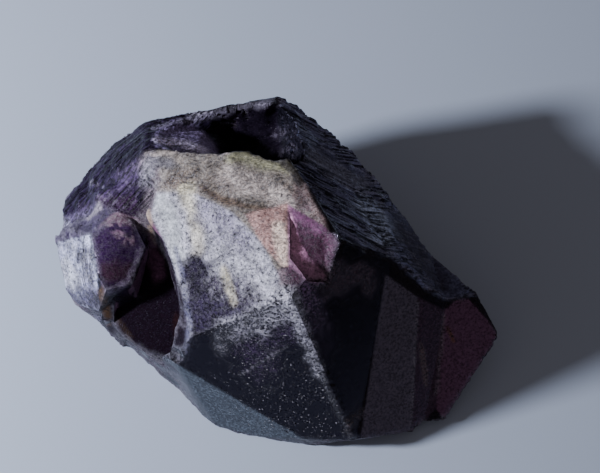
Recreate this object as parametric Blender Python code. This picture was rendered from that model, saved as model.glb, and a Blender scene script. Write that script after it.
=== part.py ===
"""An amethyst point lying on its side: one crystal with a raised pale slab along its front, smooth tip faces at
the lower right, a striated prism side, a broken hollow along the top and a small crystal grown on its left."""

import math
import random

import bmesh
import bpy
from mathutils import Matrix, Vector, noise

MM = 0.001
MODEL = "amethyst_point"

# Corners are in millimetres: X along the crystal, Y away from the viewer, Z up from the table.
# The smooth faces at the tip.
SLAB_POINT = Vector((3.0, -12.5, 37.0))
SLAB_FOOT = Vector((-19.5, -20.0, 19.0))
TIP = Vector((15.5, -32.0, 6.0))
SHOULDER_INNER = (12.0, -2.0)
SHOULDER_OUTER = Vector((22.5, -2.5, 30.0))
THIRD_RIDGE_TOP = Vector((28.5, -6.0, 23.0))
THIRD_RIDGE_FOOT = (27.5, -29.0)
TIP_HEEL = (23.5, -30.0)
FOURTH_RIDGE_TOP = Vector((33.5, -7.0, 18.0))
FOURTH_RIDGE_FOOT = (31.5, -25.5)
RIGHT_POINT = Vector((44.5, -11.5, 9.0))
RIGHT_BACK = (39.5, -5.5)
RIGHT_FOOT = (34.5, -24.5)

# The raised slab: its lit face lies between the crest and the left edge.
CREST_LEFT = Vector((-15.5, 8.0, 38.0))
CREST_LINE = [(-22.5, 9.0), (-8.0, 3.5), (-2.5, -2.5), (0.5, -8.0)]
SLAB_LEFT_UPPER = [(-21.0, 0.5), (-17.5, -9.0)]
SLAB_LEFT_LOWER = (-16.0, -16.5)
SLAB_FRONT_EDGE = [(-10.0, -24.5), (-1.5, -28.5), (5.5, -31.5)]
CROWN_EDGE = [
    Vector((-25.0, 17.5, 35.0)),
    Vector((-15.5, 18.0, 37.0)),
    Vector((-7.5, 16.0, 38.0)),
    Vector((2.0, 15.0, 38.0)),
    Vector((5.0, 11.5, 38.0)),
    Vector((7.5, 5.5, 39.0)),
    Vector((10.0, 0.0, 39.5)),
]

# The outline seen from above, which is the widest part of each side.
BACK_RIGHT_OUTLINE = [
    Vector((1.0, 32.0, 29.0)),
    Vector((4.0, 31.5, 27.0)),
    Vector((10.0, 27.0, 24.0)),
    Vector((15.0, 23.0, 22.0)),
    Vector((20.0, 17.0, 21.0)),
    Vector((25.5, 10.5, 18.0)),
    Vector((30.5, 4.5, 15.0)),
]
BACK_LEFT_OUTLINE = [
    Vector((-15.0, 29.5, 27.0)),
    Vector((-26.0, 28.0, 26.0)),
    Vector((-32.5, 25.0, 22.0)),
    Vector((-38.5, 20.0, 18.0)),
    Vector((-43.0, 15.5, 14.0)),
]
FRONT_LEFT_OUTLINE = [
    Vector((-42.5, -1.5, 10.0)),
    Vector((-39.0, -5.0, 9.0)),
    Vector((-32.5, -12.0, 8.0)),
    Vector((-27.0, -14.5, 8.0)),
    Vector((-22.5, -18.0, 8.0)),
]
BASE = [
    Vector((-12.0, -28.0, 0.0)),
    Vector((-4.5, -30.0, 0.0)),
    Vector((6.0, -31.5, 0.0)),
    Vector((15.0, -30.0, 0.0)),
    Vector((27.0, -20.0, 0.0)),
    Vector((28.0, -10.0, 0.0)),
    Vector((22.0, 4.0, 0.0)),
    Vector((11.0, 17.0, 0.0)),
    Vector((-4.0, 22.0, 0.0)),
    Vector((-22.0, 18.0, 0.0)),
    Vector((-33.0, 8.0, 0.0)),
    Vector((-32.0, -2.0, 0.0)),
    Vector((-22.0, -14.0, 0.0)),
]

# What the two stepped masses right of the tip reach back and down to.
MIDDLE_ROOT = [
    Vector((25.5, 10.5, 17.5)),
    Vector((30.5, 4.5, 14.5)),
    Vector((14.0, -12.0, 4.0)),
    Vector((18.0, -29.5, 0.5)),
    Vector((27.0, -24.0, 0.5)),
    Vector((23.0, 1.0, 3.0)),
]
RIGHT_ROOT = [
    Vector((30.5, 4.5, 14.0)),
    Vector((34.0, 1.0, 13.0)),
    Vector((28.0, -20.0, 1.0)),
    Vector((26.0, -4.0, 3.0)),
    Vector((39.0, -9.0, 4.0)),
    Vector((24.0, -8.0, 16.0)),
    Vector((33.0, -27.0, 2.0)),
    Vector((30.0, -27.5, 1.5)),
]

# The small crystal grown on the left side.
SIDE_CRYSTAL_TOP = [
    Vector((-43.5, 5.5, 18.0)),
    Vector((-36.0, 4.0, 25.0)),
    Vector((-34.5, -4.0, 24.0)),
    Vector((-33.0, -6.5, 23.0)),
    Vector((-35.0, -8.5, 16.0)),
    Vector((-39.5, -6.0, 12.0)),
    Vector((-42.0, -3.5, 12.0)),
    Vector((-44.5, 7.5, 16.0)),
    Vector((-42.0, 8.0, 19.0)),
    Vector((-36.5, 10.0, 22.0)),
    Vector((-31.5, 7.5, 26.5)),
    Vector((-28.0, 7.0, 26.5)),
    Vector((-25.5, 2.0, 24.0)),
    Vector((-28.0, -5.0, 22.0)),
    Vector((-31.0, -6.5, 21.0)),
]
SIDE_CRYSTAL_ROOT = [
    Vector((-41.5, 8.0, 8.0)),
    Vector((-40.5, -4.0, 7.0)),
    Vector((-35.0, -8.0, 7.0)),
    Vector((-27.0, -6.0, 9.0)),
    Vector((-24.5, 5.0, 12.0)),
    Vector((-30.0, 12.0, 14.0)),
]
SMALL_PRISM = [
    Vector((-34.2, -6.0, 20.5)),
    Vector((-31.6, -6.2, 20.0)),
    Vector((-34.6, -9.6, 13.5)),
    Vector((-32.2, -9.8, 13.0)),
    Vector((-34.2, -6.0, 10.0)),
    Vector((-31.6, -6.2, 10.0)),
    Vector((-34.6, -9.6, 9.0)),
    Vector((-32.2, -9.8, 9.0)),
]

# Where the crystal is set back or hollowed.
OUTLINE_CUTS = [
    [(-30.0, -12.8), (-19.5, -20.4), (-30.0, -45.0), (-50.0, -30.0)],
    [(-19.5, -20.4), (-12.5, -28.3), (-20.0, -50.0), (-40.0, -40.0)],
]
RECESS_FLOOR = [Vector((-22.5, 4.5, 21.0)), Vector((-18.0, -13.0, 14.0)), Vector((-33.0, -9.0, 13.0))]
RECESS_PLAN = [
    (-23.2, 6.0),
    (-22.3, 3.0),
    (-19.5, -5.0),
    (-18.3, -12.0),
    (-20.5, -18.0),
    (-27.0, -19.0),
    (-38.0, -12.0),
    (-36.0, -2.0),
    (-32.0, 4.0),
]
RECESS_BACK = [Vector((-42.0, 12.0, 17.0)), Vector((-24.0, 12.0, 30.0)), Vector((-26.0, 4.0, 22.0))]
RECESS_BACK_PLAN = [(-23.2, 12.5), (-22.8, 5.0), (-30.0, 1.0), (-42.0, 2.0), (-44.0, 12.5), (-35.0, 14.5)]
SET_BACK_FACE = [Vector((3.0, 15.5, 35.5)), Vector((12.5, -1.0, 37.0)), Vector((20.0, 17.0, 21.0))]
SET_BACK_PLAN = [(2.5, 15.5), (12.5, -1.5), (22.5, -2.5), (60.0, -2.5), (60.0, 60.0), (-8.0, 60.0), (-3.0, 32.0)]
VIOLET_FACET = [Vector((12.0, -2.0, 39.3)), Vector((9.5, -9.0, 34.5)), Vector((2.7, -4.7, 34.5))]
VIOLET_PLAN = [(2.7, 5.0), (2.7, -5.5), (6.0, -9.5), (9.5, -9.0), (12.0, -2.5), (9.5, 0.5)]
HOLLOWS = [
    (Vector((-9.0, 23.5, 33.0)), Vector((14.0, 7.3, 12.0)), 9.0),
    (Vector((-1.0, 20.5, 33.0)), Vector((6.0, 7.5, 9.0)), 40.0),
]

# Growth ledges: the face they cross, the way they run, the box that holds them, spacing and depth.
LEDGES = [
    (Vector((0.57, 0.40, 0.72)), Vector((1.0, -0.32, -0.62)), ((1.0, -3.0, 12.0), (18.5, 31.5, 38.5)), 1.7, 0.75, 3),
    (Vector((0.57, 0.40, 0.72)), Vector((1.0, 0.2, -0.9)), ((18.5, -3.0, 12.0), (28.0, 20.0, 33.0)), 1.5, 0.6, 4),
    (Vector((-0.35, 0.55, 0.75)), Vector((0.78, 0.55, 0.3)), ((-43.0, 11.0, 12.0), (-24.0, 28.0, 36.0)), 1.9, 0.8, 5),
    (Vector((-0.1, 0.15, 1.0)), Vector((1.0, 0.1, 0.0)), ((-24.0, 10.5, 33.0), (3.0, 18.0, 40.0)), 2.2, 0.35, 7),
    (Vector((-0.7, 0.0, 0.7)), Vector((0.1, -1.0, 0.0)), ((-44.0, -7.0, 11.0), (-34.2, 6.0, 26.0)), 1.6, 0.2, 9),
    (Vector((0.5, 0.8, -0.3)), Vector((0.8, -0.5, 0.1)), ((2.0, -4.0, 1.0), (33.0, 31.0, 24.0)), 3.2, 0.7, 11),
]
LEDGE_RISE = 0.35
LEDGE_BREAK = 4.0

# Chips along the edges: where each one is, the way it faces, its radius and how much of it stands clear.
TIP_RIDGE_OUT = Vector((0.22, -0.78, 0.58))
FRONT_EDGE_OUT = Vector((-0.2, -0.95, 0.1))
SLAB_EDGE_OUT = Vector((-0.8, -0.2, 0.4))
CHIPS = [
    (Vector((5.6, -16.5, 31.4)), TIP_RIDGE_OUT, 3.0, 0.88),
    (Vector((8.2, -20.6, 24.6)), TIP_RIDGE_OUT, 2.2, 0.85),
    (Vector((10.8, -24.7, 17.9)), TIP_RIDGE_OUT, 2.6, 0.86),
    (Vector((13.6, -29.0, 10.9)), TIP_RIDGE_OUT, 2.0, 0.8),
    (Vector((15.5, -32.0, 6.0)), Vector((0.1, -0.9, 0.1)), 1.8, 0.7),
    (Vector((-5.8, -26.6, 11.2)), FRONT_EDGE_OUT, 2.4, 0.85),
    (Vector((1.8, -30.2, 6.4)), FRONT_EDGE_OUT, 2.0, 0.8),
    (Vector((-14.8, -22.4, 16.4)), FRONT_EDGE_OUT, 2.6, 0.86),
    (Vector((-19.3, -19.2, 19.6)), Vector((-0.5, -0.3, 0.8)), 2.2, 0.65),
    (Vector((-21.6, 3.4, 33.0)), SLAB_EDGE_OUT, 3.0, 0.8),
    (Vector((-18.6, -6.0, 29.6)), SLAB_EDGE_OUT, 2.6, 0.85),
    (Vector((-16.6, -13.4, 26.8)), SLAB_EDGE_OUT, 2.4, 0.82),
    (Vector((17.2, -2.2, 34.4)), Vector((0.5, 0.0, 0.8)), 2.0, 0.8),
    (Vector((25.2, -4.0, 27.4)), Vector((0.5, 0.1, 0.8)), 2.4, 0.75),
    (Vector((44.5, -11.5, 9.0)), Vector((0.9, 0.1, 0.4)), 1.6, 0.6),
    (Vector((39.4, -19.0, 5.2)), Vector((0.7, -0.6, 0.3)), 2.2, 0.8),
    (Vector((33.0, -27.0, 2.5)), Vector((0.3, -0.8, 0.6)), 1.8, 0.6),
    (Vector((-43.4, 15.0, 14.5)), Vector((-0.8, -0.2, 0.5)), 2.6, 0.6),
    (Vector((-43.6, 6.4, 17.5)), Vector((-0.9, 0.3, 0.3)), 1.6, 0.6),
    (Vector((-36.0, 5.0, 25.0)), Vector((0.0, 0.4, 0.9)), 2.0, 0.8),
    (Vector((7.0, 29.4, 25.4)), Vector((0.6, 0.75, 0.1)), 3.2, 0.84),
    (Vector((17.6, 20.0, 21.4)), Vector((0.75, 0.6, 0.1)), 3.0, 0.85),
    (Vector((28.0, 7.6, 16.6)), Vector((0.75, 0.6, 0.1)), 3.2, 0.86),
    (Vector((-20.0, 29.2, 26.6)), Vector((0.0, 0.9, 0.4)), 3.0, 0.85),
    (Vector((-29.2, 26.8, 24.2)), Vector((-0.4, 0.8, 0.3)), 3.0, 0.82),
    (Vector((-41.0, 17.8, 16.0)), Vector((-0.6, 0.7, 0.2)), 2.4, 0.8),
    (Vector((-8.0, 31.0, 27.5)), Vector((-0.1, 0.9, 0.4)), 2.8, 0.82),
]

# Rough places: the box, the spacing of the points on it, and how far they stray.
ROUGH_PLACES = [
    (((-45.0, 6.5, 12.0), (-34.0, 13.5, 25.0)), 2.6, 0.6),
    (((-38.0, -21.0, 3.0), (-18.5, -9.5, 14.0)), 2.6, 0.7),
    (((-26.0, 16.0, 18.0), (8.0, 33.0, 36.0)), 3.2, 1.0),
    (((-23.0, -16.0, 22.0), (3.0, 9.0, 41.0)), 4.0, 0.45),
    (((2.5, -9.5, 30.0), (12.0, 5.0, 41.0)), 3.2, 0.3),
    (((-42.0, 8.2, 15.0), (-23.0, 14.0, 31.0)), 3.4, 0.5),
    (((24.0, -6.0, 12.0), (40.0, 8.0, 28.0)), 3.4, 0.5),
    (((-44.0, -1.0, 1.0), (4.0, 31.0, 24.0)), 7.0, 1.2),
]


def clear_scene():
    for item in list(bpy.data.objects):
        bpy.data.objects.remove(item, do_unlink=True)


def new_collection(name, hidden=False):
    collection = bpy.data.collections.new(name)
    bpy.context.scene.collection.children.link(collection)
    collection.hide_render = hidden
    return collection


def on_face(face, spot):
    """The point of a flat face, given by three corners, that lies over a spot of the plan."""
    normal = (face[1] - face[0]).cross(face[2] - face[0])
    x, y = spot
    z = face[0].z - (normal.x * (x - face[0].x) + normal.y * (y - face[0].y)) / normal.z
    return Vector((x, y, z))


def mesh_object(name, mesh_builder, collection):
    mesh = bpy.data.meshes.new(name)
    bm = bmesh.new()
    mesh_builder(bm)
    bmesh.ops.recalc_face_normals(bm, faces=bm.faces[:])
    bm.to_mesh(mesh)
    bm.free()
    result = bpy.data.objects.new(name, mesh)
    collection.objects.link(result)
    return result


def hull(name, corners, collection):
    """The faceted solid that these corners span."""

    def build(bm):
        for corner in corners:
            bm.verts.new(corner * MM)
        found = bmesh.ops.convex_hull(bm, input=bm.verts[:])
        loose = [item for item in found["geom_interior"] if isinstance(item, bmesh.types.BMVert)]
        bmesh.ops.delete(bm, geom=loose, context="VERTS")
        bmesh.ops.dissolve_limit(bm, angle_limit=math.radians(1.0), verts=bm.verts[:], edges=bm.edges[:])
        bmesh.ops.triangulate(bm, faces=bm.faces[:])

    return mesh_object(name, build, collection)


def above_face(name, face, plan, height, collection):
    """A block with a flat sloping underside, standing over an outline of the plan."""
    under = [on_face(face, spot) for spot in plan]
    over = [corner + Vector((0.0, 0.0, height)) for corner in under]
    return hull(name, under + over, collection)


def lump(name, middle, radii, turn, detail, collection):
    """A rounded or roughly faceted body, used to break a hollow or a chip out of the crystal."""

    def build(bm):
        turned = Matrix.Rotation(math.radians(turn), 3, "Z")
        place = Matrix.LocRotScale(middle * MM, turned, radii * MM)
        bmesh.ops.create_icosphere(bm, subdivisions=detail, radius=1.0, matrix=place)

    return mesh_object(name, build, collection)


def combine(target, other, operation):
    modifier = target.modifiers.new(operation.title(), "BOOLEAN")
    modifier.operation = operation
    modifier.solver = "EXACT"
    modifier.object = other
    other.display_type = "WIRE"
    other.hide_render = True
    bpy.context.view_layer.update()
    depsgraph = bpy.context.evaluated_depsgraph_get()
    applied = bpy.data.meshes.new_from_object(target.evaluated_get(depsgraph))
    target.modifiers.clear()
    target.data = applied


def tip_corners():
    """The corners along the smooth tip faces, in three groups: front, middle and right."""
    first = [SLAB_POINT, SLAB_FOOT, TIP]
    second = [SLAB_POINT, SHOULDER_OUTER, TIP]
    third = [SHOULDER_OUTER, THIRD_RIDGE_TOP, TIP]
    third_foot = on_face(third, THIRD_RIDGE_FOOT)
    fourth = [THIRD_RIDGE_TOP, third_foot, FOURTH_RIDGE_TOP]
    fourth_foot = on_face(fourth, FOURTH_RIDGE_FOOT)
    fifth = [FOURTH_RIDGE_TOP, fourth_foot, RIGHT_POINT]
    slab_left_lower = on_face(first, SLAB_LEFT_LOWER)

    front = [SLAB_POINT, SLAB_FOOT, TIP, SHOULDER_OUTER, on_face(second, SHOULDER_INNER), slab_left_lower]
    front += [on_face(first, spot) for spot in SLAB_FRONT_EDGE]
    lit = [SLAB_POINT, CREST_LEFT, slab_left_lower]
    front += [CREST_LEFT] + [on_face(lit, spot) for spot in CREST_LINE + SLAB_LEFT_UPPER]
    middle = [SHOULDER_OUTER, TIP, THIRD_RIDGE_TOP, third_foot, on_face(third, TIP_HEEL)]
    middle += [FOURTH_RIDGE_TOP, fourth_foot]
    right = [FOURTH_RIDGE_TOP, fourth_foot, RIGHT_POINT, on_face(fifth, RIGHT_BACK), on_face(fifth, RIGHT_FOOT)]
    return front, middle, right


def build_masses(parts, cutters):
    front, middle, right = tip_corners()
    outline = BACK_RIGHT_OUTLINE + BACK_LEFT_OUTLINE + FRONT_LEFT_OUTLINE
    crystal = hull(MODEL, front + CROWN_EDGE + outline + BASE, parts)
    combine(crystal, hull("middle_mass", middle + MIDDLE_ROOT, cutters), "UNION")
    combine(crystal, hull("right_mass", right + RIGHT_ROOT, cutters), "UNION")
    return crystal


def break_and_set_back(crystal, cutters):
    for number, plan in enumerate(OUTLINE_CUTS):
        block = [Vector((x, y, z)) for x, y in plan for z in (-5.0, 60.0)]
        combine(crystal, hull(f"outline_cut_{number}", block, cutters), "DIFFERENCE")
    combine(crystal, above_face("recess", RECESS_FLOOR, RECESS_PLAN, 40.0, cutters), "DIFFERENCE")
    combine(crystal, above_face("recess_back", RECESS_BACK, RECESS_BACK_PLAN, 30.0, cutters), "DIFFERENCE")
    combine(crystal, above_face("set_back", SET_BACK_FACE, SET_BACK_PLAN, 60.0, cutters), "DIFFERENCE")
    combine(crystal, above_face("violet_facet", VIOLET_FACET, VIOLET_PLAN, 20.0, cutters), "DIFFERENCE")
    for number, (middle, radii, turn) in enumerate(HOLLOWS):
        combine(crystal, lump(f"hollow_{number}", middle, radii, turn, 3, cutters), "DIFFERENCE")


def faces_in(bm, direction, spread, box):
    """The faces that look roughly in a direction and whose middle lies in a box."""
    low, high = Vector(box[0]) * MM, Vector(box[1]) * MM
    found = []
    for face in bm.faces:
        middle = face.calc_center_median()
        inside = all(low[axis] <= middle[axis] <= high[axis] for axis in range(3))
        if inside and face.normal.dot(direction) > math.cos(math.radians(spread)):
            found.append(face)
    return found


def mark_faces(bm, direction, spread, box):
    """Marks the faces of a place, so that the mark stays on them however they are divided."""
    mark = bm.faces.layers.int.get("place") or bm.faces.layers.int.new("place")
    chosen = set(faces_in(bm, direction, spread, box))
    for face in bm.faces:
        face[mark] = 1 if face in chosen else 0
    return mark


def divide_marked(bm, mark, way, place):
    """Draws the line where a flat cut across the model meets the marked faces."""
    faces = [face for face in bm.faces if face[mark]]
    edges = list({edge for face in faces for edge in face.edges})
    verts = list({vertex for face in faces for vertex in face.verts})
    bmesh.ops.bisect_plane(bm, geom=verts + edges + faces, dist=1e-6, plane_co=way * place * MM, plane_no=way)


def marked_verts(bm, mark):
    """Each point of the marked faces, and whether it lies inside them or on their border."""
    found = {vertex for face in bm.faces if face[mark] for vertex in face.verts}
    ordered = sorted(found, key=lambda vertex: vertex.index)
    return [(vertex, all(face[mark] for face in vertex.link_faces)) for vertex in ordered]


def cut_ledges(bm, facing, along, box, spacing, depth, seed):
    """Breaks a face into growth ledges: it sinks at each line and rises slowly to the next one."""
    chance = random.Random(seed)
    facing = facing.normalized()
    along = (along - facing * along.dot(facing)).normalized()
    across = facing.cross(along)
    mark = mark_faces(bm, facing, 32.0, box)
    verts = [vertex for vertex, _ in marked_verts(bm, mark)]
    reach = [vertex.co.dot(across) / MM for vertex in verts]
    run = [vertex.co.dot(along) / MM for vertex in verts]
    steps = []
    place = min(reach, default=0.0) + spacing * 0.4
    while place < max(reach, default=0.0) - 0.6:
        steps.append((place, depth * chance.uniform(0.5, 1.2)))
        place += spacing * chance.uniform(0.6, 1.5)
    for place, _ in steps:
        divide_marked(bm, mark, across, place)
        divide_marked(bm, mark, across, place + LEDGE_RISE)
    place = min(run, default=0.0) + LEDGE_BREAK * 0.5
    while place < max(run, default=0.0):
        divide_marked(bm, mark, along, place)
        place += LEDGE_BREAK * chance.uniform(0.6, 1.3)
    following = steps[1:] + [(max(reach, default=0.0) + spacing, 0.0)]
    bm.verts.index_update()
    for vertex, inside in marked_verts(bm, mark):
        place = vertex.co.dot(across) / MM
        fade = 0.7 + 0.7 * noise.noise(vertex.co / (7.0 * MM))
        for (start, drop), (after, _) in zip(steps, following):
            if start + LEDGE_RISE * 0.5 <= place < after + LEDGE_RISE * 0.5:
                rise = (place - start - LEDGE_RISE) / (after - start)
                sink = drop * (1.0 - max(rise, 0.0)) * fade * (1.0 if inside else 0.35)
                vertex.co -= facing * sink * MM
                break


def roughen(bm, box, spacing, stray):
    """Divides the faces in a box into small ones and moves their points, as on a broken or grainy surface."""
    mark = mark_faces(bm, Vector((0.0, 0.0, 1.0)), 155.0, box)
    for axis in range(3):
        way = Vector((0.0, 0.0, 0.0))
        way[axis] = 1.0
        place = box[0][axis]
        while place < box[1][axis]:
            divide_marked(bm, mark, way, place)
            place += spacing
    bm.verts.index_update()
    bm.normal_update()
    for vertex, inside in marked_verts(bm, mark):
        sharp = any(edge.is_manifold and edge.calc_face_angle() > math.radians(25.0) for edge in vertex.link_edges)
        if inside:
            share = 0.35 if sharp else 1.0
            vertex.co += vertex.normal * noise.noise(vertex.co / (2.3 * MM)) * stray * share * MM


def add_surface(crystal):
    bm = bmesh.new()
    bm.from_mesh(crystal.data)
    bmesh.ops.dissolve_limit(bm, angle_limit=math.radians(0.5), verts=bm.verts[:], edges=bm.edges[:])
    bm.normal_update()
    for ledge in LEDGES:
        cut_ledges(bm, *ledge)
    bm.normal_update()
    for rough in ROUGH_PLACES:
        roughen(bm, *rough)
    bmesh.ops.triangulate(bm, faces=bm.faces[:])
    bmesh.ops.dissolve_degenerate(bm, dist=2e-6, edges=bm.edges[:])
    bmesh.ops.triangulate(bm, faces=bm.faces[:])
    bm.to_mesh(crystal.data)
    bm.free()


def build_crystal(parts, cutters):
    crystal = build_masses(parts, cutters)
    break_and_set_back(crystal, cutters)
    combine(crystal, hull("side_crystal", SIDE_CRYSTAL_TOP + SIDE_CRYSTAL_ROOT, cutters), "UNION")
    combine(crystal, hull("small_prism", SMALL_PRISM, cutters), "UNION")
    for number, (spot, outward, radius, clear) in enumerate(CHIPS):
        middle = spot + outward.normalized() * radius * clear
        chip = lump(f"chip_{number}", middle, Vector((radius, radius, radius)), 31.0 * number, 2, cutters)
        combine(crystal, chip, "DIFFERENCE")
    add_surface(crystal)
    return crystal


def finish_material(item):
    material = bpy.data.materials.new("amethyst")
    material.use_nodes = True
    shader = material.node_tree.nodes["Principled BSDF"]
    shader.inputs["Base Color"].default_value = (0.13, 0.07, 0.2, 1.0)
    shader.inputs["Roughness"].default_value = 0.25
    shader.inputs["Metallic"].default_value = 0.0
    item.data.materials.clear()
    item.data.materials.append(material)


def centre_on_origin(item):
    """Stands the crystal on Z = 0 with the middle of its outline over the origin."""
    xs = [vertex.co.x for vertex in item.data.vertices]
    ys = [vertex.co.y for vertex in item.data.vertices]
    zs = [vertex.co.z for vertex in item.data.vertices]
    shift = Vector(((min(xs) + max(xs)) / 2, (min(ys) + max(ys)) / 2, min(zs)))
    item.data.transform(Matrix.Translation(-shift))


def main():
    clear_scene()
    parts = new_collection("Amethyst point")
    cutters = new_collection("Cutters", hidden=True)
    crystal = build_crystal(parts, cutters)
    centre_on_origin(crystal)
    finish_material(crystal)


main()
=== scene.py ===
# %% [markdown]
# # An amethyst point, dressed
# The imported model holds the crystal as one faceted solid. This lesson copies its mesh and works the copy up:
# finer growth ledges, chips in the broken hollow and worn edges, then one material that is clear violet quartz
# where the faces are glassy and pale crust where frost, fibres and grains cover them.

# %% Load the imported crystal
import math

import bmesh
import bpy
import numpy as np
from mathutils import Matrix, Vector, noise


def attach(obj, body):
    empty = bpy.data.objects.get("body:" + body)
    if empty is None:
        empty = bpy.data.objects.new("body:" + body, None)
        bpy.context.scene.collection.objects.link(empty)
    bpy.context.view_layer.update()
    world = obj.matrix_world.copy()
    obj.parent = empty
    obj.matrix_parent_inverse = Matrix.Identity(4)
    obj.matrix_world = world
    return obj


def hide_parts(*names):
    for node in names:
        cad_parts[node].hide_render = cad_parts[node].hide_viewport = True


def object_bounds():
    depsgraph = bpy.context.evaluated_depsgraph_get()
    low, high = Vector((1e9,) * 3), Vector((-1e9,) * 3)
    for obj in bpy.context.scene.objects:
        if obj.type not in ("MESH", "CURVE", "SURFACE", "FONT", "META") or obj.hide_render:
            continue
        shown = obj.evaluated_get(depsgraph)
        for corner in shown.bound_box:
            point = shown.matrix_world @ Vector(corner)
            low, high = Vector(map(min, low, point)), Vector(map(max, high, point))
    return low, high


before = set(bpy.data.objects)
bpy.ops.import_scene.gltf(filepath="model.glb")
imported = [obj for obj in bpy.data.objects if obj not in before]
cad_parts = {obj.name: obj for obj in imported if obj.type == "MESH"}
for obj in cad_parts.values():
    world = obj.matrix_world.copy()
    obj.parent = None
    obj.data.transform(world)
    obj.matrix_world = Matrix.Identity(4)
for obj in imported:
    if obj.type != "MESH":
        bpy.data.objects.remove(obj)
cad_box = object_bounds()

MM = 0.001
print("packed crystal, mm:", [[round(value / MM, 1) for value in corner] for corner in cad_box])

# %% [markdown]
# The viewer looks steeply down on the crystal, as on a specimen that lies on a table. A long lens a short way
# off keeps the outline nearly as in a plan view. The camera is aimed with a track quaternion, which needs no
# constraint.

# %% Camera
LOOK_AT = Vector((0.0048, 0.0075, 0.015))
CAMERA_ELEVATION = math.radians(70.0)
CAMERA_DISTANCE = 0.4
camera_data = bpy.data.cameras.new("camera")
camera_data.lens = 120.0
camera_data.sensor_fit = "HORIZONTAL"
camera_data.sensor_width = 36.0
camera_data.dof.use_dof = False
camera = bpy.data.objects.new("camera", camera_data)
bpy.context.scene.collection.objects.link(camera)
camera.location = LOOK_AT + CAMERA_DISTANCE * Vector((0.0, -math.cos(CAMERA_ELEVATION), math.sin(CAMERA_ELEVATION)))
camera.rotation_euler = (LOOK_AT - camera.location).to_track_quat("-Z", "Y").to_euler()
bpy.context.scene.camera = camera
print("camera at", tuple(round(value, 3) for value in camera.location))

# %% [markdown]
# A pale matt floor catches one long shadow. The key is a small soft box low on the left, so that the slab's
# broad face is bright and the faces on the right fall into shade. The world gives the faint even fill.

# %% Floor and light
FLOOR_SIZE = 6.0
FLOOR_COLOUR = (0.385, 0.44, 0.58, 1.0)
FILL_COLOUR = (0.92, 0.84, 0.82, 1.0)
FILL_STRENGTH = 0.15
KEY_DISTANCE = 0.38
KEY_ELEVATION = math.radians(26.0)
KEY_TURN = math.radians(7.0)
KEY_SIZE = 0.045
KEY_POWER = 3.2
KEY_COLOUR = (0.93, 0.96, 1.0)


def plain_material(name, colour, roughness):
    material = bpy.data.materials.new(name)
    material.use_nodes = True
    shader = material.node_tree.nodes["Principled BSDF"]
    shader.inputs["Base Color"].default_value = colour
    shader.inputs["Roughness"].default_value = roughness
    return material


bpy.ops.object.select_all(action="DESELECT")
bpy.ops.mesh.primitive_plane_add(size=FLOOR_SIZE, location=(0.0, 0.0, 0.0))
floor = bpy.context.active_object
floor.name = "floor"
floor.data.materials.append(plain_material("pale_floor", FLOOR_COLOUR, roughness=0.9))

key_data = bpy.data.lights.new("key", "AREA")
key_data.shape = "DISK"
key_data.size = KEY_SIZE
key_data.energy = KEY_POWER
key_data.color = KEY_COLOUR
key = bpy.data.objects.new("key", key_data)
bpy.context.scene.collection.objects.link(key)
key.location = LOOK_AT + KEY_DISTANCE * Vector((
    -math.cos(KEY_ELEVATION) * math.cos(KEY_TURN),
    -math.cos(KEY_ELEVATION) * math.sin(KEY_TURN),
    math.sin(KEY_ELEVATION),
))
key.rotation_euler = (LOOK_AT - key.location).to_track_quat("-Z", "Y").to_euler()

world = bpy.data.worlds.new("studio")
bpy.context.scene.world = world
world.use_nodes = True
world.node_tree.nodes["Background"].inputs["Color"].default_value = FILL_COLOUR
world.node_tree.nodes["Background"].inputs["Strength"].default_value = FILL_STRENGTH
print("key at", tuple(round(value, 3) for value in key.location))

# %% [markdown]
# The copy starts as loose triangles of every size, and fine work needs small even cells. A voxel remesh rounds
# the ridges, and a lattice of bisect cuts is slow. The Remesh modifier in its sharp mode gives even quads and
# still puts points on the ridges, so the flat faces stay flat and the edges stay crisp. The shortest edges that
# it leaves are merged away.

# %% Copy the crystal and give it even cells
REMESH_DEPTH = 8
REMESH_SCALE = 0.68
SAME_PLACE = 1e-6
SHORTEST_EDGE = 0.03 * MM


def only(piece):
    bpy.ops.object.select_all(action="DESELECT")
    piece.select_set(True)
    bpy.context.view_layer.objects.active = piece


def apply_modifier(piece, kind, **settings):
    only(piece)
    modifier = piece.modifiers.new(kind.title(), kind)
    for name, value in settings.items():
        setattr(modifier, name, value)
    bpy.ops.object.modifier_apply(modifier=modifier.name)


def merge_points(piece, distance):
    only(piece)
    bpy.ops.object.mode_set(mode="EDIT")
    bpy.ops.mesh.select_all(action="SELECT")
    bpy.ops.mesh.remove_doubles(threshold=distance)
    bpy.ops.mesh.delete_loose()
    bpy.ops.object.mode_set(mode="OBJECT")


crystal = bpy.data.objects.new("amethyst_crystal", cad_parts["amethyst_point"].data.copy())
bpy.context.scene.collection.objects.link(crystal)
merge_points(crystal, SAME_PLACE)
apply_modifier(
    crystal, "REMESH", mode="SHARP", octree_depth=REMESH_DEPTH, scale=REMESH_SCALE, sharpness=1.0,
    use_remove_disconnected=True,
)
merge_points(crystal, SHORTEST_EDGE)
print("cells:", len(crystal.data.polygons), "points:", len(crystal.data.vertices))

# %% [markdown]
# Sculpting in code needs three things: where each point is, which way the surface faces there, and which
# points are neighbours. Places are in millimetres, X along the crystal, Y away from the viewer, Z up.

# %% Read the mesh as arrays
def read_points(piece):
    points = np.empty(len(piece.data.vertices) * 3)
    piece.data.vertices.foreach_get("co", points)
    return points.reshape(-1, 3) / MM


def write_points(piece, points):
    piece.data.vertices.foreach_set("co", (points * MM).ravel())
    piece.data.update()


def read_normals(piece):
    normals = np.empty(len(piece.data.vertices) * 3)
    piece.data.vertices.foreach_get("normal", normals)
    return normals.reshape(-1, 3)


def read_edges(piece):
    edges = np.empty(len(piece.data.edges) * 2, dtype=int)
    piece.data.edges.foreach_get("vertices", edges)
    return edges.reshape(-1, 2)


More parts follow.
